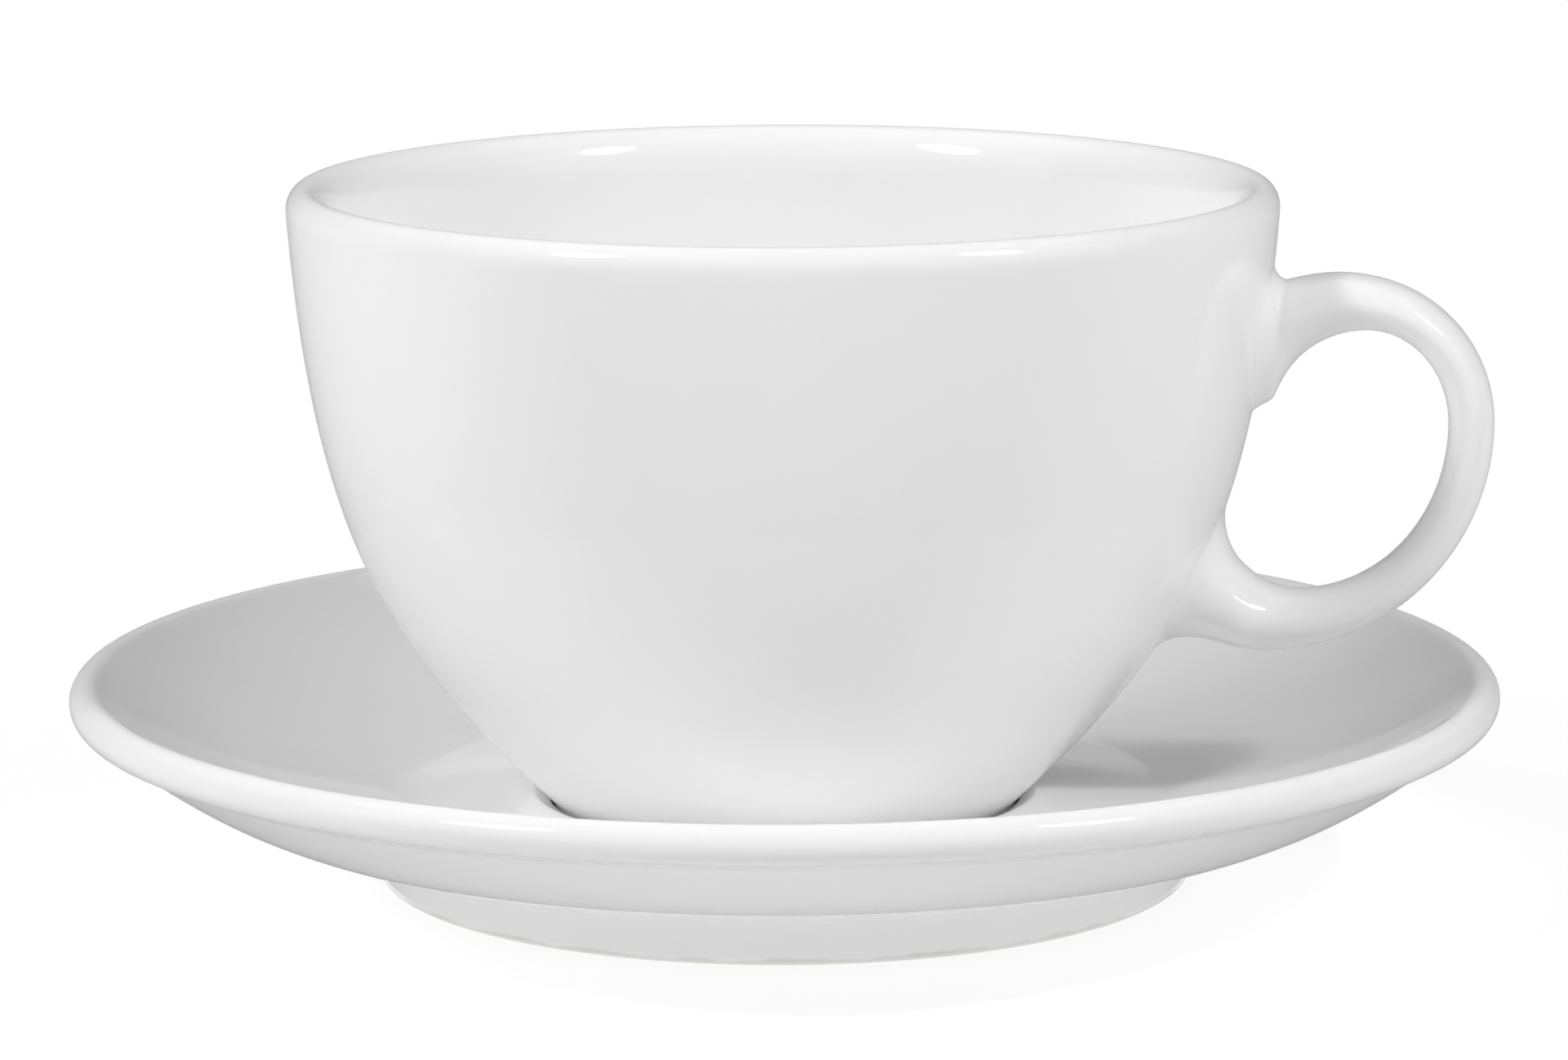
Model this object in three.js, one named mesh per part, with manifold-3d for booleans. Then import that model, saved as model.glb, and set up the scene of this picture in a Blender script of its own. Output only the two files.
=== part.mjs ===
// Cafe au lait cup on its saucer, in white glazed porcelain. Millimetres, +Z up.
// The origin is on the common axis, on the table under the saucer's foot ring. The handle points along +X.
import * as THREE from "three";
import { LoftGeometry } from "three/addons/geometries/LoftGeometry.js";
import { mergeVertices } from "three/addons/utils/BufferGeometryUtils.js";
import Module from "manifold-3d";

// Saucer
const saucerDiameter = 160;
const saucerHeight = 23.1;
const rimBandWidth = 4; // rounded band along the edge, across its section
const rimBandHeight = 4.2;
const rimBandSpan = { from: -72, to: 125 }; // degrees of its section that show, from the crease over the top
const creaseInset = 3.9; // crease under the rim band, in from the edge
const creaseDrop = 5.1; // and down from the top
const undersideSlope = 39; // degrees, where the underside leaves the crease
const undersideBend = 6.7; // height at which the underside would level out
const saucerFootDiameter = 91.4;
const saucerFootWidth = 3.7;
const saucerFootHeight = 7.7; // at the fillet where the foot meets the underside
const footFillet = 4.4; // reach of that fillet along the underside
const wellThickness = 4;
const wellRecess = 2; // hollow under the well, above the table
const recessRise = 2.5; // how much higher the hollow is beside the foot ring
const wellDepth = 3; // step down into the well, which hides the cup's foot
const wellMargin = 1.1; // flat of the well beyond the cup's foot
const wellSpread = 1.2; // how much wider the step is at its top
const saucerWall = 4.9; // upright thickness where the underside levels out

// Cup
const cupDiameter = 110;
const cupHeight = 71.6;
const cupFootDiameter = 51;
const cupFootWidth = 3.5;
const cupFootHeight = 2.5;
const cupFootRecess = 2.2; // hollow under the cup's base
const footFlare = 1; // how far the wall has spread where it leaves the foot
const wallThickness = 5;
const lipCrest = 1.85; // top of the lip, in from the rim's edge
const lipRise = 2.5; // height of the rounding outside the crest
const lipInnerRise = 4.6; // and of the wider rounding inside it
const cupBase = 4.1; // thickness of the bottom
const floorBlend = 0.12; // share of the wall curve that the rounding at the bottom takes up inside
const wallBelly = { inset: 9.8, rise: 17.8 }; // lower handle of the wall curve, from the rim and the foot
const wallFlank = { inset: 2.5, drop: 35.5 }; // upper handle of the wall curve, from the rim and the lip

// Handle, seen from the side
const handleDrop = 9.2; // from the top of the lip to the top of the handle
const handleLift = 20.6; // from the cup's foot to the bottom of the handle
const handleReach = 24; // beyond the rim's edge
const crownRadius = 16.5; // outer edge, upper bend
const bowReach = 25.3; // outer edge, how far the lower bend swings out
const bandDepth = 5.1; // band at its outermost point
const upperArmDepth = 6.1;
const lowerArmDepth = 6.7;
const holeCrown = 9; // half width of the hole's top, towards the outside
const holeShoulder = 10.6; // and towards the cup
const holeBow = 16.6; // width of the hole's lower bend
const shoulderSweep = 75; // degrees of the hole's edge between its top and the upper root
const lowerRootBend = 7.9; // radius of the hole's edge above the lower root
const upperArmFall = 1.2; // the top edge sinks this much towards the cup
const lowerArmRise = 0.8; // the bottom edge rises this much towards the cup
const upperRootLength = 8; // outer edge from the crown to the wall
const lowerRootLength = 10.3; // outer edge from the bow to the wall
const rootDepth = 14; // how far each root would run on inside the wall

// Handle, across
const upperRootWidth = 11.2;
const crownWidth = 10;
const bandWidth = 9.2;
const bowWidth = 11;
const lowerRootWidth = 16;
const rootTaper = 0.3; // the upper root is narrower below by this share

// Both foot rings
const edgeRound = 0.8; // rounding of their edges

// Clearances
const seatGap = 0.3; // cup's foot above the well
const luteGap = 0.3; // handle's roots off the wall

// Facets
const turns = 56;
const sectionSides = 18;
const footSteps = 3;
const bandSteps = 4; // a quarter of the rim band
const undersideSteps = 8;
const upperSteps = 11;
const wallSteps = 14;
const lipSteps = 8;
const rootSteps = 6;
const crownSteps = 7;
const bowSteps = 9;
const sameSpot = 1e-3; // points closer than this are one point
const weldDistance = 1e-4;

const saucerRadius = saucerDiameter / 2;
const saucerFoot = saucerFootDiameter / 2;
const cupFoot = cupFootDiameter / 2;
const rim = cupDiameter / 2;
const wellHeight = wellRecess + wellThickness;
const cupBottom = wellHeight + seatGap;
const lipTop = cupBottom + cupHeight;
const lipStart = lipTop - lipRise;

const wasm = await Module();
wasm.setup();

// Points of an ellipse about a centre, between two angles in degrees.
function arc(centre, halfWidth, halfHeight, from, to, steps) {
  return Array.from({ length: steps + 1 }, (_, i) => {
    const angle = THREE.MathUtils.degToRad(from + ((to - from) * i) / steps);
    return new THREE.Vector2(centre.x + halfWidth * Math.cos(angle), centre.y + halfHeight * Math.sin(angle));
  });
}

function bend(start, middle, end, steps) {
  return new THREE.QuadraticBezierCurve(start, middle, end).getPoints(steps);
}

// Drops points that repeat the one before them.
function joined(...runs) {
  return runs.flat().filter((p, i, all) => i === 0 || p.distanceTo(all[i - 1]) > sameSpot);
}

// A closed body of revolution about Z from a profile of radius and height that starts and ends on the axis.
function turned(profile) {
  const geometry = new THREE.LatheGeometry(profile, turns);
  geometry.rotateX(Math.PI / 2);
  return geometry;
}

function point(radius, height) {
  return new THREE.Vector2(radius, height);
}

// The flat ring that a piece stands on, from the hollow inside it to its outer edge.
function footRing(radius, width, bottom, hollow) {
  const inner = radius - width;
  const hollowSide = point(inner, hollow - edgeRound / 2);
  return joined(
    [point(inner - edgeRound, hollow)],
    bend(hollowSide, point(inner, bottom), point(inner + edgeRound, bottom), footSteps),
    arc(point(radius - edgeRound, bottom + edgeRound), edgeRound, edgeRound, -90, 0, footSteps),
  );
}

function saucerProfile() {
  const band = point(saucerRadius - rimBandWidth / 2, saucerHeight - rimBandHeight / 2);
  const crease = point(saucerRadius - creaseInset, saucerHeight - creaseDrop);
  const steepness = Math.tan(THREE.MathUtils.degToRad(undersideSlope));
  const level = point(crease.x - (crease.y - undersideBend) / steepness, undersideBend);
  const root = point(saucerFoot + footFillet, saucerFootHeight);
  const wellEdge = point(cupFoot + wellMargin, wellHeight);
  const bandArc = (from, to, steps) => arc(band, rimBandWidth / 2, rimBandHeight / 2, from, to, steps);
  const rimBand = joined(
    bandArc(rimBandSpan.from, 0, bandSteps),
    bandArc(0, 90, bandSteps),
    bandArc(90, rimBandSpan.to, bandSteps / 2),
  );
  const shoulder = rimBand[rimBand.length - 1];
  // The upper surface stays a wall's thickness above the underside's bend and eases out to the step round the well.
  const ledge = point(wellEdge.x + wellSpread, wellHeight + wellDepth);
  const overBend = point(level.x, level.y + saucerWall);
  const overWell = point((ledge.x + level.x) / 2, wellHeight + saucerWall);
  const upper = new THREE.CubicBezierCurve(shoulder, overBend, overWell, ledge);
  const filletStart = point(saucerFoot, saucerFootHeight / 2);
  return joined(
    [point(0, wellRecess), point(wellEdge.x, wellRecess)],
    footRing(saucerFoot, saucerFootWidth, 0, wellRecess + recessRise),
    bend(filletStart, point(saucerFoot, saucerFootHeight), root, footSteps),
    bend(root, level, crease, undersideSteps),
    rimBand,
    upper.getPoints(upperSteps),
    [wellEdge, point(0, wellHeight)],
  );
}

const wallCurve = new THREE.CubicBezierCurve(
  point(cupFoot + footFlare, cupBottom + cupFootHeight),
  point(rim - wallBelly.inset, cupBottom + cupFootHeight + wallBelly.rise),
  point(rim - wallFlank.inset, lipStart - wallFlank.drop),
  point(rim, lipStart),
);

// The wall's outer curve moved sideways: a positive distance is outwards. It starts at a share of its length.
function besideWall(distance, from, steps) {
  return Array.from({ length: steps + 1 }, (_, i) => {
    const t = from + ((1 - from) * i) / steps;
    const tangent = wallCurve.getTangent(t);
    return wallCurve.getPoint(t).add(point(tangent.y, -tangent.x).multiplyScalar(distance));
  });
}

function cupProfile() {
  const crest = rim - lipCrest;
  const innerStart = lipTop - lipInnerRise;
  const floor = cupBottom + cupFootRecess + cupBase;
  const inside = besideWall(-wallThickness, floorBlend, upperSteps).filter((p) => p.y < innerStart - sameSpot);
  const run = wallCurve.getTangent(floorBlend);
  const corner = point(inside[0].x - ((inside[0].y - floor) * run.x) / run.y, floor);
  const flat = point(corner.x - corner.distanceTo(inside[0]), floor);
  return joined(
    [point(0, cupBottom + cupFootRecess)],
    footRing(cupFoot, cupFootWidth, cupBottom, cupBottom + cupFootRecess),
    besideWall(0, 0, wallSteps),
    arc(point(crest, lipStart), lipCrest, lipRise, 0, 90, lipSteps / 2),
    arc(point(crest, innerStart), wallThickness - lipCrest, lipInnerRise, 90, 180, lipSteps / 2),
    inside.reverse(),
    bend(inside[inside.length - 1], corner, flat, bandSteps),
    [point(0, floor)],
  );
}

// The handle's edges as seen from the side, run by run from the upper root round to the lower one.
function handleEdges() {
  const out = rim + handleReach;
  const top = lipTop - handleDrop;
  const middle = top - crownRadius;
  const bottom = cupBottom + handleLift;
  const holeTop = top - upperArmDepth;
  const holeBottom = bottom + lowerArmDepth;
  const holeOut = out - bandDepth;
  const crown = point(out - crownRadius, middle);
  const bow = point(out - bowReach, middle);
  const holeTopCentre = point(holeOut - holeCrown, middle);
  const holeBowCentre = point(holeOut - holeBow, middle);
  const rootHeight = Math.min(lowerRootBend, (middle - holeBottom) / 2);
  const rootCentre = point(holeBowCentre.x, holeBottom + rootHeight);
  const upperWall = point(crown.x - upperRootLength, top - upperArmFall);
  const lowerWall = point(bow.x - lowerRootLength, bottom + lowerArmRise);
  const shoulderEnd = 90 + shoulderSweep;
  const shoulder = arc(holeTopCentre, holeShoulder, holeTop - middle, shoulderEnd, 90, rootSteps);
  const rootBend = arc(rootCentre, lowerRootBend, rootHeight, -90, -180, rootSteps);
  const topMiddle = point(crown.x - upperRootLength / 2, top);
  const bottomMiddle = point(bow.x - lowerRootLength / 2, bottom);
  const inward = point(-rootDepth, 0);
  const outer = [
    [upperWall.clone().add(inward)],
    bend(upperWall, topMiddle, point(crown.x, top), rootSteps),
    arc(crown, crownRadius, crownRadius, 90, 0, crownSteps),
    arc(bow, bowReach, middle - bottom, 0, -90, bowSteps),
    bend(point(bow.x, bottom), bottomMiddle, lowerWall, rootSteps),
    [lowerWall.clone().add(inward)],
  ];
  const inner = [
    [shoulder[0].clone().add(inward)],
    shoulder,
    arc(holeTopCentre, holeCrown, holeTop - middle, 90, 0, crownSteps),
    arc(holeBowCentre, holeBow, middle - holeBottom, 0, -90, bowSteps),
    rootBend,
    [rootBend[rootBend.length - 1].clone().add(inward)],
  ];
  return { outer, inner };
}

// Each run of the handle goes from one width to the next, and only the upper root is egg-shaped.
const handleWidths = [
  upperRootWidth,
  upperRootWidth,
  crownWidth,
  bandWidth,
  bowWidth,
  lowerRootWidth,
  lowerRootWidth,
];
const handleTapers = [rootTaper, rootTaper, 0, 0, 0, 0, 0];

// An oval between the two edges, wider towards the outer one by the taper.
function handleSection(outer, inner, width, taper) {
  return Array.from({ length: sectionSides }, (_, i) => {
    const angle = (-2 * Math.PI * i) / sectionSides;
    const along = (1 + Math.cos(angle)) / 2;
    const across = (width / 2) * Math.sin(angle) * (1 + taper * Math.cos(angle));
    const edge = inner.clone().lerp(outer, along);
    return new THREE.Vector3(edge.x, across, edge.y);
  });
}

function handleLoft() {
  const { outer, inner } = handleEdges();
  const sections = outer.flatMap((run, k) => run.flatMap((edge, i) => {
    const repeats = k > 1 && i === 0 && run.length > 1;
    if (repeats) return [];
    const share = run.length > 1 ? THREE.MathUtils.smoothstep(i, 0, run.length - 1) : 1;
    const width = THREE.MathUtils.lerp(handleWidths[k], handleWidths[k + 1], share);
    const taper = THREE.MathUtils.lerp(handleTapers[k], handleTapers[k + 1], share);
    return [handleSection(edge, inner[k][i], width, taper)];
  }));
  return new LoftGeometry(sections, { capStart: true, capEnd: true });
}

// A solid from a closed mesh: shared corners are merged, and the slivers on a lathe's axis fall away.
function solid(geometry) {
  const bare = new THREE.BufferGeometry();
  bare.setAttribute("position", geometry.attributes.position);
  bare.setIndex(geometry.index);
  const merged = mergeVertices(bare, weldDistance);
  const corners = merged.index.array;
  const triVerts = [];
  for (let i = 0; i < corners.length; i += 3) {
    const [a, b, c] = corners.slice(i, i + 3);
    if (a !== b && b !== c && c !== a) triVerts.push(a, b, c);
  }
  return new wasm.Manifold(new wasm.Mesh({
    numProp: 3,
    vertProperties: new Float32Array(merged.attributes.position.array),
    triVerts: new Uint32Array(triVerts),
  }));
}

function geometryOf(manifold) {
  const mesh = manifold.getMesh();
  const geometry = new THREE.BufferGeometry();
  geometry.setAttribute("position", new THREE.BufferAttribute(mesh.vertProperties, mesh.numProp));
  geometry.setIndex(new THREE.BufferAttribute(mesh.triVerts, 1));
  geometry.computeVertexNormals();
  return geometry;
}

// The handle's roots are trimmed to the bowl's outer wall, with the gap that the slip fills.
function handleGeometry() {
  const wall = besideWall(luteGap, 0, wallSteps);
  const core = turned([point(0, wall[0].y), ...wall, point(0, wall[wall.length - 1].y)]);
  return geometryOf(solid(handleLoft()).subtract(solid(core)));
}

function porcelain(colour) {
  return new THREE.MeshStandardMaterial({ color: colour, roughness: 0.12, metalness: 0 });
}

function piece(name, geometry, material) {
  const mesh = new THREE.Mesh(geometry, material);
  mesh.name = name;
  return mesh;
}

const cafeAuLaitCup = new THREE.Group();
cafeAuLaitCup.add(
  piece("saucer", turned(saucerProfile()), porcelain(0xf1f1ef)),
  piece("cup_body", turned(cupProfile()), porcelain(0xf3f3f1)),
  piece("cup_handle", handleGeometry(), porcelain(0xf2f2f0)),
);

export default cafeAuLaitCup;
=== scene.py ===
import math
import bpy
import numpy as np
from mathutils import Matrix, Vector


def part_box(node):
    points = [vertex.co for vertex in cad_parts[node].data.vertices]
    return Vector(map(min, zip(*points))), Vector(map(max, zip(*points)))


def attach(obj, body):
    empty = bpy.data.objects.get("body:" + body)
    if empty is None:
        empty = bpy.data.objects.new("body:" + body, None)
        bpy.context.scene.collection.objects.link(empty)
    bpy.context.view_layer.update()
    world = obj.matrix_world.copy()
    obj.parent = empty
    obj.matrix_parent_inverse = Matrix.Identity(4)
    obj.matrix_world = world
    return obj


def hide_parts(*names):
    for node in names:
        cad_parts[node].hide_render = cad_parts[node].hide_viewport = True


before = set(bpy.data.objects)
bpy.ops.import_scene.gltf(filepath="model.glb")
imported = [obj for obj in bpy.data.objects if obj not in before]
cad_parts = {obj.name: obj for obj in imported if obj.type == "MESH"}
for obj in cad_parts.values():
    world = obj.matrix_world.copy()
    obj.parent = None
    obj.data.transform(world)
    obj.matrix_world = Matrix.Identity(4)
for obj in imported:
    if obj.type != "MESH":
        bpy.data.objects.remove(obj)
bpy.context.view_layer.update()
mm = 0.001  # sizes below are in millimetres, meshes in metres
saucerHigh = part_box("saucer")[1] / mm
cupLow, cupHigh = (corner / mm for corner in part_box("cup_body"))
handleLow, handleHigh = (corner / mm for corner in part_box("cup_handle"))
print("frame loaded:", sorted(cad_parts))

# Lines and surfaces


def bezierRun(points, count):
    # Bernstein sum of the control points at even steps of the parameter
    t = np.linspace(0, 1, count)[:, None]
    n = len(points) - 1
    terms = [math.comb(n, k) * (1 - t) ** (n - k) * t**k * np.array(p, float) for k, p in enumerate(points)]
    return np.sum(terms, axis=0)


def arcRun(centre, halfWidth, halfHeight, start, end, count):
    # ellipse about a centre, cosine across and sine up, between two angles in degrees
    a = np.radians(np.linspace(start, end, count))
    return np.stack([centre[0] + halfWidth * np.cos(a), centre[1] + halfHeight * np.sin(a)], 1)


def chain(*runs):
    # runs end to end, without the points that repeat the one before
    line = np.concatenate([np.atleast_2d(np.array(run, float)) for run in runs])
    gap = np.linalg.norm(np.diff(line, axis=0), axis=1)
    return line[np.concatenate([[True], gap > 1e-4])]


def gaussian(values, spread):
    # weighted average along the first axis, with weights exp(-x^2 / 2 spread^2)
    # both ends are turned about themselves, so that they stay where they are
    reach = int(4 * spread) + 1
    x = np.arange(-reach, reach + 1)
    weights = np.exp(-0.5 * (x / spread) ** 2)
    weights /= weights.sum()
    head = 2 * values[0] - values[reach:0:-1]
    tail = 2 * values[-1] - values[-2:-reach - 2:-1]
    padded = np.concatenate([head, values, tail])
    return np.stack([np.convolve(padded[:, k], weights, mode="valid") for k in range(values.shape[1])], 1)


def softened(line, spread, count, step=0.05, turnWeight=6.0):
    # even steps along the line, a gaussian average over the spread, then points packed where the line turns
    length = np.concatenate([[0], np.cumsum(np.linalg.norm(np.diff(line, axis=0), axis=1))])
    even = np.arange(0, length[-1], step)
    fine = np.stack([np.interp(even, length, line[:, k]) for k in range(2)], 1)
    fine = gaussian(fine, spread / step)
    heading = np.unwrap(np.arctan2(*np.diff(fine, axis=0).T[::-1]))
    turn = np.abs(np.gradient(heading))
    weight = np.concatenate([[0], np.cumsum(step + turnWeight * turn)])
    return np.stack([np.interp(np.linspace(0, weight[-1], count), weight, fine[:, k]) for k in range(2)], 1)


def unit(vectors):
    # each vector divided by its length
    return vectors / np.linalg.norm(vectors, axis=-1, keepdims=True)


def closedSurface(name, rings):
    # a grid of rings that close on themselves, with a middle point over the first and the last ring
    rows, columns = rings.shape[:2]
    here = np.arange(rows * columns).reshape(rows, columns)
    beside = np.roll(here, -1, axis=1)
    quads = np.stack([here[:-1], beside[:-1], beside[1:], here[1:]], -1).reshape(-1, 4)
    first = np.full(columns, rows * columns)
    startFan = np.stack([first, beside[0], here[0]], -1)
    endFan = np.stack([here[-1], beside[-1], first + 1], -1)
    middles = np.stack([rings[0].mean(0), rings[-1].mean(0)])
    points = np.concatenate([rings.reshape(-1, 3), middles]) * mm
    mesh = bpy.data.meshes.new(name)
    mesh.from_pydata(points.tolist(), [], quads.tolist() + startFan.tolist() + endFan.tolist())
    mesh.polygons.foreach_set("use_smooth", np.ones(len(mesh.polygons), bool))
    mesh.update()
    piece = bpy.data.objects.new(name, mesh)
    bpy.context.scene.collection.objects.link(piece)
    return piece


def turnedRings(profile, turns):
    # each profile point of radius and height carried round the Z axis
    a = np.linspace(0, 2 * np.pi, turns, endpoint=False)
    circle = np.stack([np.cos(a), np.sin(a)], -1)
    flat = profile[1:-1, 0][:, None, None] * circle[None]
    height = np.broadcast_to(profile[1:-1, 1][:, None, None], (*flat.shape[:2], 1))
    return np.concatenate([flat, height], -1)


def footRing(radius, width, bottom, hollow, edge):
    # rounded inner edge, flat, rounded outer edge
    inner = radius - width
    inside = bezierRun([(inner, hollow - edge / 2), (inner, bottom), (inner + edge, bottom)], 24)
    outside = arcRun((radius - edge, bottom + edge), edge, edge, -90, 0, 24)
    return chain((inner - edge, hollow), inside, outside)


# Saucer

saucer = {
    "radius": saucerHigh.x,
    "height": saucerHigh.z,
    "bandWidth": 4.0,
    "bandHeight": 4.2,
    "bandSpan": (-72, 125),  # degrees of the rim band's section that show
    "creaseInset": 3.9,  # crease under the band, in from the edge
    "creaseDrop": 5.1,  # and down from the top
    "undersideSlope": 39.0,
    "undersideBend": 6.7,  # height at which the underside would level out
    "footRadius": 45.7,
    "footWidth": 3.7,
    "footHeight": 7.7,
    "footFillet": 4.4,
    "footEdge": 0.8,
    "wellHeight": 6.0,
    "wellRadius": 26.45,
    "ledge": (28.4, 9.4),  # radius and height of the flat ring's inner edge
    "step": (26.5, 8.5),  # end of the chamfer below it
    "flatEnd": (43.2, 9.4),  # outer edge of the flat ring
    "flatBend": 1.5,
    "slopeStart": (55.0, 12.7),  # two control points of the curve up to the rim
    "slopeEnd": (66.5, 14.8),
    "recess": 2.0,
    "recessRise": 2.5,
    "hollowFlat": 20.0,  # radius of the flat underneath, and of the bend around it
    "hollowBend": (30.0, 33.0),
    "softness": 0.2,  # spread of the rounding along the profile
    "rings": 290,
    "turns": 320,
}


def saucerProfile(s):
    # from the middle of the hollow underneath, over foot, underside and rim band, to the middle of the well
    band = (s["radius"] - s["bandWidth"] / 2, s["height"] - s["bandHeight"] / 2)
    crease = (s["radius"] - s["creaseInset"], s["height"] - s["creaseDrop"])
    steepness = math.tan(math.radians(s["undersideSlope"]))
    level = (crease[0] - (crease[1] - s["undersideBend"]) / steepness, s["undersideBend"])
    root = (s["footRadius"] + s["footFillet"], s["footHeight"])
    rimBand = arcRun(band, s["bandWidth"] / 2, s["bandHeight"] / 2, *s["bandSpan"], 80)
    slope = bezierRun([rimBand[-1], s["slopeEnd"], s["slopeStart"], s["flatEnd"]], 160)
    slope = slope[slope[:, 0] > s["flatEnd"][0] + s["flatBend"]]
    flat = (s["flatEnd"][0] - s["flatBend"], s["flatEnd"][1])
    bend = bezierRun([slope[-1], s["flatEnd"], flat], 30)
    well = [s["ledge"], s["step"], (s["wellRadius"], s["wellHeight"]), (0, s["wellHeight"])]
    hollow = s["recess"] + s["recessRise"]
    hollowEnd = s["footRadius"] - s["footWidth"] - s["footEdge"]
    low, high = s["hollowBend"]
    underBend = [(s["hollowFlat"], s["recess"]), (low, s["recess"]), (high, hollow), (hollowEnd, hollow)]
    underWell = bezierRun(underBend, 60)
    foot = footRing(s["footRadius"], s["footWidth"], 0, hollow, s["footEdge"])
    fillet = bezierRun([(s["footRadius"], s["footHeight"] / 2), (s["footRadius"], s["footHeight"]), root], 40)
    underside = bezierRun([root, level, crease], 120)
    line = chain((0, s["recess"]), underWell, foot, fillet, underside, rimBand, slope, bend, well)
    return softened(line, s["softness"], s["rings"])


saucerPiece = closedSurface("saucerDish", turnedRings(saucerProfile(saucer), saucer["turns"]))
print("saucer:", len(saucerPiece.data.polygons), "faces")

# Cup

cup = {
    "rim": cupHigh.x,
    "top": cupHigh.z,
    "bottom": saucer["wellHeight"] + 0.02,  # a hair above the well
    "footBottom": cupLow.z,
    "footRadius": 25.5,
    "footWidth": 3.5,
    "footHeight": 2.5,
    "footRecess": 2.2,
    "footFlare": 1.0,
    "footEdge": 0.8,
    "wall": 5.0,
    "lipCrest": 1.85,
    "lipRise": 2.5,
    "lipInnerRise": 4.6,
    "base": 4.1,
    "belly": (9.8, 17.8),  # lower control point of the wall, from the rim and the foot
    "flank": (2.5, 35.5),  # upper control point, from the rim and the lip
    "lipPull": 0.55,  # share of its height and depth that the inner lip stays round
    "floorBlend": 0.12,
    "softness": 0.3,
    "rings": 250,
    "turns": 320,
}


def wallControls(c):
    # outer wall from the foot to the lip: one cubic curve
    start = c["footBottom"] + c["footHeight"]
    end = c["top"] - c["lipRise"]
    return [
        (c["footRadius"] + c["footFlare"], start),
        (c["rim"] - c["belly"][0], start + c["belly"][1]),
        (c["rim"] - c["flank"][0], end - c["flank"][1]),
        (c["rim"], end),
    ]


def offsetRun(line, distance):
    # each point moved square to the line, to its left
    along = np.gradient(line, axis=0)
    along /= np.linalg.norm(along, axis=1)[:, None]
    return line + distance * np.stack([-along[:, 1], along[:, 0]], 1)


def cupProfile(c):
    # from the middle under the base, over the foot, wall and lip, to the middle of the floor
    wall = bezierRun(wallControls(c), 240)
    crest, innerStart = c["rim"] - c["lipCrest"], c["top"] - c["lipInnerRise"]
    lipOutside = arcRun((crest, c["top"] - c["lipRise"]), c["lipCrest"], c["lipRise"], 0, 90, 40)
    inside = offsetRun(wall, c["wall"])[int(c["floorBlend"] * len(wall)):]
    inside = inside[inside[:, 1] < innerStart]
    edge, lean = inside[-1], unit(inside[-1] - inside[-2])
    across, climb = c["lipPull"] * (crest - edge[0]), c["lipPull"] * (c["top"] - edge[1])
    lipInside = bezierRun([(crest, c["top"]), (crest - across, c["top"]), edge + climb * lean, edge], 60)
    floor = c["footBottom"] + c["footRecess"] + c["base"]
    run = inside[1] - inside[0]
    corner = np.array([inside[0, 0] - (inside[0, 1] - floor) * run[0] / run[1], floor])
    flat = corner - (np.linalg.norm(corner - inside[0]), 0)
    bottomBend = bezierRun([inside[0], corner, flat], 60)
    hollow = c["footBottom"] + c["footRecess"]
    foot = footRing(c["footRadius"], c["footWidth"], c["bottom"], hollow, c["footEdge"])
    return chain((0, hollow), foot, wall, lipOutside, lipInside, inside[::-1], bottomBend, (0, floor))


cupLine = softened(cupProfile(cup), cup["softness"], cup["rings"])
cupPiece = closedSurface("cupBowl", turnedRings(cupLine, cup["turns"]))
print("cup:", len(cupPiece.data.polygons), "faces")

# Handle

handle = {
    "out": handleHigh.x,
    "top": handleHigh.z,
    "bottom": handleLow.z - 0.5,  # the lower arm sags a little
    "crown": 16.5,
    "bow": 25.3,
    "band": 5.1,
    "upperArm": 6.1,
    "lowerArm": 6.7,
    "holeCrown": 9.0,
    "holeShoulder": 10.6,
    "holeBow": 16.6,
    "shoulderSweep": 75.0,
    "rootBend": 7.9,
    "rootSweep": 48.0,
    "upperStart": (56.0, 67.75),
    "lowerEnd": (49.5, 27.1),
    "widths": (11.2, 10.0, 9.2, 11.0, 13.6),  # across, from the upper root to the lower
    "tapers": (0.3, 0.0, 0.0, 0.0, 0.0),  # how much wider outside than inside
    "squareness": 0.86,
    "steps": (36, 56, 76, 30),
    "softness": 5.0,
    "sides": 96,
}
# leave and arrive are shares of the way to the wall, sink and tuck are depths in it
rootRun = {"leave": 0.9, "arrive": 1.1, "sink": 0.04, "tuck": 1.0}
upperRoot = {"heights": (52.6, 69.4), "width": 17.5, "taper": 0.36, "steps": 26, **rootRun}
lowerRoot = {"heights": (42.9, 25.9), "width": 20.0, "taper": -0.12, "steps": 30, **rootRun}


def smoothStep(count):
    # three times the square less twice the cube of even steps from 0 to 1
    t = np.linspace(0, 1, count)
    return t * t * (3 - 2 * t)


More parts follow.
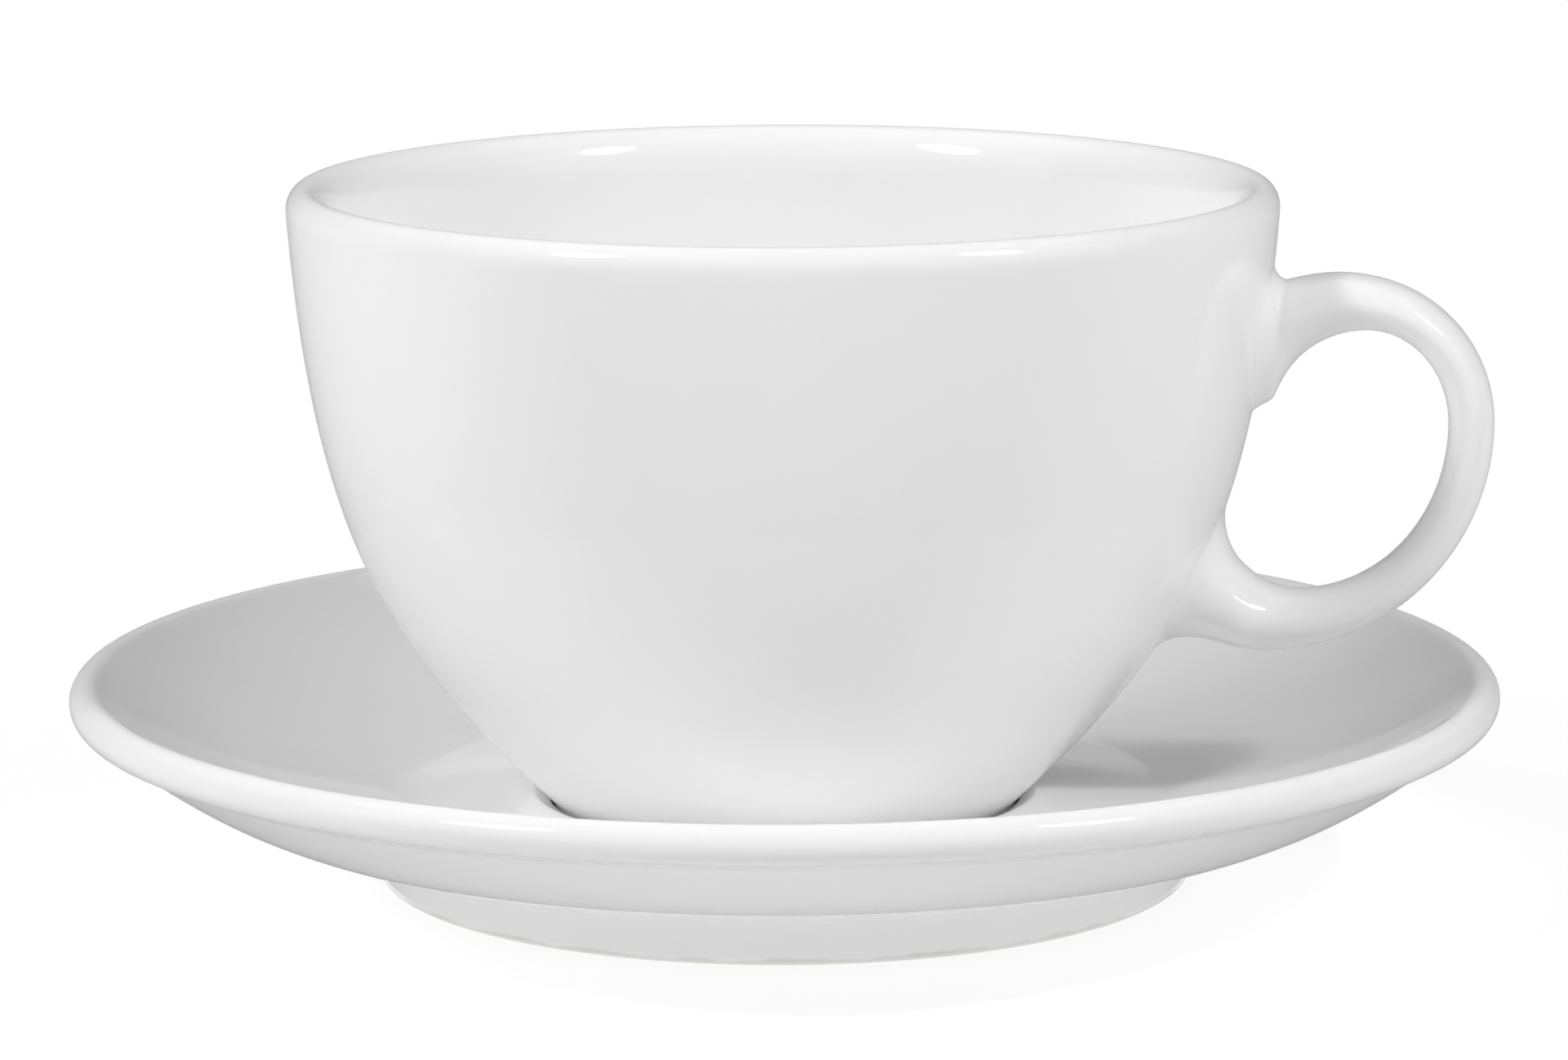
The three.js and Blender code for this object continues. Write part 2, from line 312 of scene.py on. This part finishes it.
def handleEdges(h):
    # outer and inner edge seen from the side, with the full width and the taper at each step
    middle = h["top"] - h["crown"]
    holeTop, holeBottom = h["top"] - h["upperArm"], h["bottom"] + h["lowerArm"]
    holeOut = h["out"] - h["band"]
    crown, bow = (h["out"] - h["crown"], middle), (h["out"] - h["bow"], middle)
    holeCrown, holeBow = (holeOut - h["holeCrown"], middle), (holeOut - h["holeBow"], middle)
    rootCentre = (holeBow[0], holeBottom + h["rootBend"])
    a, b, c, d = h["steps"]
    topMiddle = ((h["upperStart"][0] + crown[0]) / 2, h["top"])
    bottomMiddle = ((h["lowerEnd"][0] + bow[0]) / 2, h["bottom"])
    outer = [
        bezierRun([h["upperStart"], topMiddle, (crown[0], h["top"])], a),
        arcRun(crown, h["crown"], h["crown"], 90, 0, b),
        arcRun(bow, h["bow"], middle - h["bottom"], 0, -90, c),
        bezierRun([(bow[0], h["bottom"]), bottomMiddle, h["lowerEnd"]], d),
    ]
    inner = [
        arcRun(holeCrown, h["holeShoulder"], holeTop - middle, 90 + h["shoulderSweep"], 90, a),
        arcRun(holeCrown, h["holeCrown"], holeTop - middle, 90, 0, b),
        arcRun(holeBow, h["holeBow"], middle - holeBottom, 0, -90, c),
        arcRun(rootCentre, h["rootBend"], h["rootBend"], -90, -90 - h["rootSweep"], d),
    ]
    widths = [w0 + (w1 - w0) * smoothStep(n) for w0, w1, n in zip(h["widths"], h["widths"][1:], h["steps"])]
    tapers = [t0 + (t1 - t0) * smoothStep(n) for t0, t1, n in zip(h["tapers"], h["tapers"][1:], h["steps"])]
    sizes = np.stack([np.concatenate(widths), np.concatenate(tapers)], 1)
    lines = np.concatenate([np.concatenate(outer), np.concatenate(inner), sizes], 1)
    keep = np.concatenate([[True], np.linalg.norm(np.diff(lines[:, :2], axis=0), axis=1) > 1e-6])
    return gaussian(lines[keep], h["softness"])


def oval(h, taper):
    # shares along the section's depth and across its width, a little squarer than an ellipse
    v = np.linspace(0, 2 * np.pi, h["sides"], endpoint=False)
    along = (1 + np.cos(v)) / 2
    across = -np.sign(np.sin(v)) * np.abs(np.sin(v)) ** h["squareness"]
    return along, across * (1 + taper * np.cos(v)) / 2


def handleRings(h):
    # ovals between the two edges
    lines = handleEdges(h)
    along, across = oval(h, lines[:, 5][:, None])
    outer, inner = lines[:, None, 0:2], lines[:, None, 2:4]
    edge = inner + (outer - inner) * along[None, :, None]
    return np.stack([edge[..., 0], lines[:, 4][:, None] * across, edge[..., 1]], -1)


wallLine = bezierRun(wallControls(cup), 400)


def onWall(heights, across):
    # points of the bowl's outer wall by height and by distance round it
    # with the directions up the wall, round it and out of it
    radius = np.interp(heights, wallLine[:, 1], wallLine[:, 0])
    slope = np.interp(heights, wallLine[:, 1], np.gradient(wallLine[:, 0], wallLine[:, 1]))
    c, s = np.cos(across / radius), np.sin(across / radius)
    point = np.stack([radius * c, radius * s, heights], -1)
    up = np.stack([slope * c, slope * s, np.ones_like(c)], -1) / np.sqrt(1 + slope**2)[:, None]
    around = np.stack([-s, c, np.zeros_like(c)], -1)
    return point, up, around, np.cross(around, up)


def rootRings(h, root, ring, heading):
    # a cubic run from the arm's last oval to an oval drawn on the wall
    # it leaves along the arm and arrives along the wall
    along, across = oval(h, root["taper"])
    low, high = root["heights"]
    heights, sideways = low + (high - low) * along, root["width"] * across
    point, up, around, out = onWall(heights, sideways)
    climb, swing = (np.gradient(np.pad(values, 2, "wrap"))[2:-2] for values in (heights, sideways))
    steep = np.linalg.norm(up[:, :2], axis=1) / np.maximum(up[:, 2], 1e-6)
    climb = climb * np.sqrt(1 + steep**2)
    away = unit(up * swing[:, None] - around * climb[:, None])
    middle = point.mean(0)
    away *= np.sign(np.sum(away * (point - middle), 1))[:, None]
    landing = point - out * root["sink"]
    t = np.linspace(0, 1, root["steps"])[1:, None, None]
    chord = np.linalg.norm(landing - ring, axis=1)[:, None]
    leave, arrive = root["leave"] * chord * heading, root["arrive"] * chord * away
    rings = (
        (2 * t**3 - 3 * t**2 + 1) * ring
        + (t**3 - 2 * t**2 + t) * leave
        + (3 * t**2 - 2 * t**3) * landing
        + (t**3 - t**2) * arrive
    )
    inside = landing - out * root["tuck"]
    return np.concatenate([rings, inside[None]])


arm = handleRings(handle)
upper = rootRings(handle, upperRoot, arm[0], unit(arm[0] - arm[1]))
lower = rootRings(handle, lowerRoot, arm[-1], unit(arm[-1] - arm[-2]))
handlePiece = closedSurface("cupHandle", np.concatenate([upper[::-1], arm, lower]))
print("handle:", len(handlePiece.data.polygons), "faces")

# Finishes


def newGroup(name, inputs, outputs):
    # an empty node group with its named sockets
    group = bpy.data.node_groups.new(name, "ShaderNodeTree")
    for label, kind, value in inputs:
        socket = group.interface.new_socket(label, in_out="INPUT", socket_type=kind)
        if value is not None:
            socket.default_value = value
    for label, kind in outputs:
        group.interface.new_socket(label, in_out="OUTPUT", socket_type=kind)
    return group, group.nodes.new("NodeGroupInput"), group.nodes.new("NodeGroupOutput")


def addNode(tree, kind, settings=None, **links):
    # a node with its settings, and its sockets linked or set by name
    node = tree.nodes.new(kind)
    for key, value in (settings or {}).items():
        setattr(node, key, value)
    for key, value in links.items():
        socket = node.inputs[int(key[1:])] if key[0] == "i" and key[1:].isdigit() else node.inputs[key]
        if isinstance(value, bpy.types.NodeSocket):
            tree.links.new(value, socket)
        else:
            socket.default_value = value
    return node


def mathNode(tree, operation, *values):
    # one arithmetic step on two or three values
    links = {f"i{k}": value for k, value in enumerate(values)}
    return addNode(tree, "ShaderNodeMath", {"operation": operation}, **links).outputs[0]


def carried(tree, value, low, high, start, end, kind="LINEAR"):
    # a value carried from the range low to high into the range start to end
    given = {"i0": value, "i1": low, "i2": high, "i3": start, "i4": end}
    return addNode(tree, "ShaderNodeMapRange", {"interpolation_type": kind}, **given).outputs[0]


def noise(tree, place, scale, detail):
    # cloudy values about one half
    return addNode(tree, "ShaderNodeTexNoise", Vector=place, Scale=scale, Detail=detail).outputs["Fac"]


def mixedColor(tree, share, first, second, blend="MIX"):
    # two colours mixed by a share
    settings = {"data_type": "RGBA", "blend_type": blend}
    return addNode(tree, "ShaderNodeMix", settings, i0=share, i6=first, i7=second).outputs[2]


specks = {"density": 95.0, "core": 0.012, "edge": 0.03, "rare": 0.985}


def glazeToneGroup():
    # glaze colour: wide faint clouds between two tones, and sparse tiny specks
    group, given, put = newGroup(
        "glazeTone",
        [
            ("Vector", "NodeSocketVector", None),
            ("Thick", "NodeSocketColor", (0.93, 0.93, 0.93, 1)),
            ("Thin", "NodeSocketColor", (0.95, 0.95, 0.95, 1)),
            ("Cloud", "NodeSocketFloat", 30.0),
            ("Speck", "NodeSocketFloat", 0.2),
        ],
        [("Color", "NodeSocketColor")],
    )
    place = given.outputs["Vector"]
    cloud = noise(group, place, given.outputs["Cloud"], 3.0)
    tone = mixedColor(group, cloud, given.outputs["Thick"], given.outputs["Thin"])
    cells = addNode(group, "ShaderNodeTexVoronoi", Vector=place, Scale=specks["density"])
    near = carried(group, cells.outputs["Distance"], specks["core"], specks["edge"], 1.0, 0.0)
    pick = addNode(group, "ShaderNodeSeparateColor", i0=cells.outputs["Color"])
    rare = mathNode(group, "GREATER_THAN", pick.outputs[0], specks["rare"])
    spot = mathNode(group, "MULTIPLY", near, rare)
    depth = mathNode(group, "MULTIPLY", spot, given.outputs["Speck"])
    keep = mathNode(group, "SUBTRACT", 1.0, depth)
    group.links.new(mixedColor(group, 1.0, tone, keep, "MULTIPLY"), put.inputs["Color"])
    return group


skinDetail = {"peelShare": 0.06, "drift": (0.85, 1.15)}


def glazeSkinGroup():
    # glaze surface: a slow wave and a fine orange peel as height, and a roughness that drifts
    group, given, put = newGroup(
        "glazeSkin",
        [
            ("Vector", "NodeSocketVector", None),
            ("Wave", "NodeSocketFloat", 90.0),
            ("Peel", "NodeSocketFloat", 900.0),
            ("Gloss", "NodeSocketFloat", 0.05),
        ],
        [("Height", "NodeSocketFloat"), ("Roughness", "NodeSocketFloat")],
    )
    wave = noise(group, given.outputs["Vector"], given.outputs["Wave"], 1.0)
    peel = noise(group, given.outputs["Vector"], given.outputs["Peel"], 1.0)
    height = mathNode(group, "MULTIPLY_ADD", peel, skinDetail["peelShare"], wave)
    drift = carried(group, wave, 0.3, 0.7, *skinDetail["drift"])
    group.links.new(height, put.inputs["Height"])
    group.links.new(mathNode(group, "MULTIPLY", drift, given.outputs["Gloss"]), put.inputs["Roughness"])
    return group


bareEdge = {"scale": 160.0, "wander": 0.0002}


def bareRingGroup():
    # mask of the unglazed foot: full below a height, fading out over a short rise with a wandering edge
    group, given, put = newGroup(
        "bareRing",
        [
            ("Vector", "NodeSocketVector", None),
            ("Height", "NodeSocketFloat", 0.0005),
            ("Fade", "NodeSocketFloat", 0.0003),
        ],
        [("Mask", "NodeSocketFloat")],
    )
    split = addNode(group, "ShaderNodeSeparateXYZ", Vector=given.outputs["Vector"])
    cloud = noise(group, given.outputs["Vector"], bareEdge["scale"], 2.0)
    lift = carried(group, cloud, 0.3, 0.7, -bareEdge["wander"], bareEdge["wander"])
    level = mathNode(group, "ADD", given.outputs["Height"], lift)
    over = mathNode(group, "SUBTRACT", split.outputs["Z"], level)
    share = mathNode(group, "DIVIDE", over, given.outputs["Fade"])
    group.links.new(carried(group, share, 0.0, 1.0, 1.0, 0.0), put.inputs["Mask"])
    return group


glazeTone, glazeSkin, bareRing = glazeToneGroup(), glazeSkinGroup(), bareRingGroup()

porcelain = {"thick": 0.93, "thin": 0.95, "gloss": 0.05, "rippleDepth": 0.0004, "ior": 1.5}
glazes = {
    "saucerGlaze": {"cloud": 22.0, "ripple": 0.01, "bareHeight": 0.0006},
    "cupGlaze": {"cloud": 26.0, "ripple": 0.02, "bareHeight": 0.0066},
    "handleGlaze": {"cloud": 40.0, "ripple": 0.02},
}
biscuit = {"color": (0.74, 0.735, 0.72, 1), "roughness": 0.6}


def glazedPorcelain(name, look):
    # clear gloss over white clay, which gives way to matt biscuit on a foot ring
    material = bpy.data.materials.new(name)
    material.use_nodes = True
    tree = material.node_tree
    shader = tree.nodes["Principled BSDF"]
    place = tree.nodes.new("ShaderNodeTexCoord").outputs["Object"]
    tone = addNode(tree, "ShaderNodeGroup", {"node_tree": glazeTone}, Vector=place, Cloud=look["cloud"])
    for thickness in ("thick", "thin"):
        tone.inputs[thickness.capitalize()].default_value = (porcelain[thickness],) * 3 + (1,)
    skin = addNode(tree, "ShaderNodeGroup", {"node_tree": glazeSkin}, Vector=place, Gloss=porcelain["gloss"])
    color, rough = tone.outputs["Color"], skin.outputs["Roughness"]
    if "bareHeight" in look:
        height = look["bareHeight"]
        bare = addNode(tree, "ShaderNodeGroup", {"node_tree": bareRing}, Vector=place, Height=height)
        mask = bare.outputs["Mask"]
        color = mixedColor(tree, mask, color, biscuit["color"])
        ends = {"i0": mask, "i2": rough, "i3": biscuit["roughness"]}
        rough = addNode(tree, "ShaderNodeMix", {"data_type": "FLOAT"}, **ends).outputs[0]
    bump = addNode(tree, "ShaderNodeBump", Strength=look["ripple"], Distance=porcelain["rippleDepth"])
    tree.links.new(skin.outputs["Height"], bump.inputs["Height"])
    tree.links.new(color, shader.inputs["Base Color"])
    tree.links.new(rough, shader.inputs["Roughness"])
    tree.links.new(bump.outputs["Normal"], shader.inputs["Normal"])
    shader.inputs["IOR"].default_value = porcelain["ior"]
    return material


for piece, body, node, slot, glaze in [
    (saucerPiece, "saucer", "saucer", "saucer_porcelain", "saucerGlaze"),
    (cupPiece, "cup", "cup_body", "cup_porcelain", "cupGlaze"),
    (handlePiece, "cup", "cup_handle", "handle_porcelain", "handleGlaze"),
]:
    piece.data.materials.append(glazedPorcelain(glaze, glazes[glaze]))
    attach(piece, body)
    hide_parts(node)
print("finishes done")

# Stage, light and camera

view = {
    "azimuth": 8.0,
    "distance": 676.8,
    "height": 164.5,
    "pitch": 10.54,
    "roll": 0.21,
    "lens": 141.13,
    "sensor": 36.0,
}
# azimuth from the camera's side, metres and watts
lamps = {
    "softBoxLeft": {"azimuth": -52, "elevation": 41, "distance": 1.1, "size": (0.27, 0.38), "power": 2.2},
    "softBoxRight": {"azimuth": 55, "elevation": 41, "distance": 1.1, "size": (0.24, 0.33), "power": 1.6},
    "fillKeyLeft": {"azimuth": -54, "elevation": 41, "distance": 1.1, "size": (0.1, 0.12), "power": 2.6},
    "fillKeyRight": {"azimuth": 58, "elevation": 43, "distance": 1.1, "size": (0.07, 0.09), "power": 2.9},
    "fillLeft": {"azimuth": -110, "elevation": 30, "distance": 1.3, "size": (0.5, 0.4), "power": 3.7},
    "fillFrontLeft": {"azimuth": -70, "elevation": 30, "distance": 1.3, "size": (0.5, 0.4), "power": 1.3},
    "fillRight": {"azimuth": 110, "elevation": 30, "distance": 1.3, "size": (0.5, 0.4), "power": 1.0},
    "fillFrontRight": {"azimuth": 70, "elevation": 44, "distance": 1.3, "size": (0.5, 0.4), "power": 1.9},
    "fillBack": {"azimuth": 180, "elevation": 55, "distance": 1.3, "size": (1.2, 0.9), "power": 0.4},
}
lampAim = Vector((0, 0, 0.04))
ambient = 0.15


def fromCamera(azimuth):
    # azimuth in the object's frame of a direction given from the camera's side, positive to the right
    return math.radians(view["azimuth"] + azimuth)


def makeCamera(v):
    # looks along the azimuth, down by the pitch, and is turned about its own axis by the roll
    a, p, r = (math.radians(v[k]) for k in ("azimuth", "pitch", "roll"))
    forward = Vector((-math.sin(a) * math.cos(p), math.cos(a) * math.cos(p), -math.sin(p)))
    right = Vector((math.cos(a), math.sin(a), 0))
    down = forward.cross(right)
    right, down = math.cos(r) * right + math.sin(r) * down, math.cos(r) * down - math.sin(r) * right
    data = bpy.data.cameras.new("photoCamera")
    data.lens, data.sensor_width = v["lens"], v["sensor"]
    camera = bpy.data.objects.new("photoCamera", data)
    turn = Matrix((right, -down, -forward)).transposed()
    place = Vector((math.sin(a) * v["distance"], -math.cos(a) * v["distance"], v["height"])) * mm
    camera.matrix_world = Matrix.Translation(place) @ turn.to_4x4()
    bpy.context.scene.collection.objects.link(camera)
    bpy.context.scene.camera = camera


def makeLamp(name, lamp):
    # soft boxes are round and show in the glaze, fills only light it
    data = bpy.data.lights.new(name, "AREA")
    isFill = name.startswith("fill")
    data.shape, data.energy = "RECTANGLE" if isFill else "ELLIPSE", lamp["power"]
    data.size, data.size_y = lamp["size"]
    piece = bpy.data.objects.new(name, data)
    a, e = fromCamera(lamp["azimuth"]), math.radians(lamp["elevation"])
    back = Vector((math.sin(a) * math.cos(e), -math.cos(a) * math.cos(e), math.sin(e)))
    piece.location = back * lamp["distance"] + lampAim
    piece.rotation_euler = back.to_track_quat("Z", "Y").to_euler()
    piece.visible_camera, piece.visible_glossy = False, not isFill
    bpy.context.scene.collection.objects.link(piece)


def whiteToEye(tree):
    # mask of the rays that see the background as white: from the camera, from gloss and through glass
    rays = tree.nodes.new("ShaderNodeLightPath").outputs
    pair = mathNode(tree, "MAXIMUM", rays["Is Camera Ray"], rays["Is Glossy Ray"])
    return mathNode(tree, "MAXIMUM", pair, rays["Is Transmission Ray"])


def stagePiece(name, points, faces, materialName):
    # a mesh of the stage with an empty material, and that material's nodes
    mesh = bpy.data.meshes.new(name)
    mesh.from_pydata(points, [], faces)
    piece = bpy.data.objects.new(name, mesh)
    bpy.context.scene.collection.objects.link(piece)
    material = bpy.data.materials.new(materialName)
    material.use_nodes = True
    material.node_tree.nodes.clear()
    mesh.materials.append(material)
    return piece, material.node_tree


def emission(tree, strength):
    # plain white light
    return addNode(tree, "ShaderNodeEmission", Color=(1, 1, 1, 1), Strength=strength).outputs[0]


def diffuse(tree, shade):
    # matt grey
    return addNode(tree, "ShaderNodeBsdfDiffuse", Color=(shade, shade, shade, 1)).outputs[0]


# painted reflections of table, floor and cloth: faint emission that only the glaze sees
flag = {
    "reach": (0.0465, 0.078, 0.12, 0.7),
    "lift": 0.0003,
    "heights": (0.2, 0.35, 0.9),
    "frontShade": {"table": 0.52, "floor": 0.56, "cloth": 0.4},
    "backShade": {"table": 0.36, "floor": 0.44, "cloth": 0.36},
    "under": 0.6,  # painted shadow of the saucer: share of the table's shade beside the foot
    "open": 80,  # degrees on each side of the camera without cloth
    "steps": 144,
}


def makeFlag(f):
    # painted reflections: a table round the foot and cloth behind it, up a part of a cylinder, that glow
    # faintly and are seen only in the glaze the painted shade runs from front to back as half a cosine,
    # darker behind, with a painted shadow of the saucer beside the foot
    azimuths = np.linspace(0, 360, f["steps"] + 1)
    a = np.radians(view["azimuth"] + azimuths)
    ways = np.stack([np.sin(a), -np.cos(a), np.zeros_like(a)], 1)
    far = f["reach"][-1]
    edges = [(reach, f["lift"]) for reach in (*f["reach"], far)] + [(far, height) for height in f["heights"]]
    points = np.concatenate([ways * reach + (0, 0, rise) for reach, rise in edges])
    levels = ("table", "table", "floor", "floor", "cloth", "cloth", "cloth", "cloth")
    front = (1 + np.cos(np.radians(azimuths))) / 2
    ends = [(f["backShade"][level], f["frontShade"][level]) for level in levels]
    shade = np.stack([back + (ahead - back) * front for back, ahead in ends])
    # painted shadow of the saucer on the table beside the foot
    shade[0] *= f["under"]
    n = len(a)
    row = np.arange(n - 1)
    behind = row[np.abs(azimuths[:-1] - 180) <= 180 - f["open"]]
    starts = np.concatenate([row, n + row, 2 * n + row] + [k * n + behind for k in (4, 5, 6)])
    quads = np.stack([starts, starts + 1, starts + n + 1, starts + n], 1)
    piece, tree = stagePiece("paintedReflectionFlag", points.tolist(), quads.tolist(), "paintedReflectionCloth")
    piece.data.attributes.new("shade", "FLOAT", "POINT").data.foreach_set("value", shade.ravel())
    level = addNode(tree, "ShaderNodeAttribute", {"attribute_name": "shade"})
    out = tree.nodes.new("ShaderNodeOutputMaterial")
    tree.links.new(emission(tree, level.outputs["Fac"]), out.inputs["Surface"])
    piece.visible_camera = piece.visible_shadow = piece.visible_diffuse = False


floor = {
    "size": 8.0,
    "paper": 0.85,
    "glow": 0.59,  # light of the table under the saucer's rim
    "glowReach": (0.05, 0.076),
    "shadowPaper": 0.45,  # paper and light that the camera sees together near the foot
    "shadowLight": 0.68,
    "whiteReach": (0.07, 0.17),
}


def makeFloor(f):
    # lights the object as pale paper that glows under the saucer
    # the camera sees it as white that keeps the shadow near the foot and is plain further out
    half = f["size"] / 2
    corners = [(-half, -half, 0), (half, -half, 0), (half, half, 0), (-half, half, 0)]
    piece, tree = stagePiece("studioFloor", corners, [(0, 1, 2, 3)], "whitePaper")
    place = tree.nodes.new("ShaderNodeTexCoord").outputs["Object"]
    reach = addNode(tree, "ShaderNodeVectorMath", {"operation": "LENGTH"}, i0=place).outputs["Value"]
    glow = emission(tree, carried(tree, reach, *f["glowReach"], f["glow"], 0.0, "SMOOTHSTEP"))
    paper = addNode(tree, "ShaderNodeAddShader", i0=diffuse(tree, f["paper"]), i1=glow).outputs[0]
    dim, light = diffuse(tree, f["shadowPaper"]), emission(tree, f["shadowLight"])
    shadowed = addNode(tree, "ShaderNodeAddShader", i0=dim, i1=light).outputs[0]
    away = carried(tree, reach, *f["whiteReach"], 0.0, 1.0, "SMOOTHSTEP")
    seen = addNode(tree, "ShaderNodeMixShader", i0=away, i1=shadowed, i2=emission(tree, 1.0)).outputs[0]
    mix = addNode(tree, "ShaderNodeMixShader", i0=whiteToEye(tree), i1=paper, i2=seen)
    out = tree.nodes.new("ShaderNodeOutputMaterial")
    tree.links.new(mix.outputs[0], out.inputs["Surface"])


def makeWorld():
    # faint even light, seen as white
    world = bpy.data.worlds.new("studioWorld")
    bpy.context.scene.world = world
    world.use_nodes = True
    tree = world.node_tree
    tree.nodes.clear()
    light = addNode(tree, "ShaderNodeBackground", Color=(1, 1, 1, 1), Strength=ambient)
    white = addNode(tree, "ShaderNodeBackground", Color=(1, 1, 1, 1), Strength=1.0)
    mix = addNode(tree, "ShaderNodeMixShader", i0=whiteToEye(tree), i1=light.outputs[0], i2=white.outputs[0])
    out = tree.nodes.new("ShaderNodeOutputWorld")
    tree.links.new(mix.outputs[0], out.inputs["Surface"])


makeCamera(view)
for name, lamp in lamps.items():
    makeLamp(name, lamp)
makeFlag(flag)
makeFloor(floor)
makeWorld()
bpy.context.scene.view_settings.view_transform = "Standard"
print("stage, light and camera done")
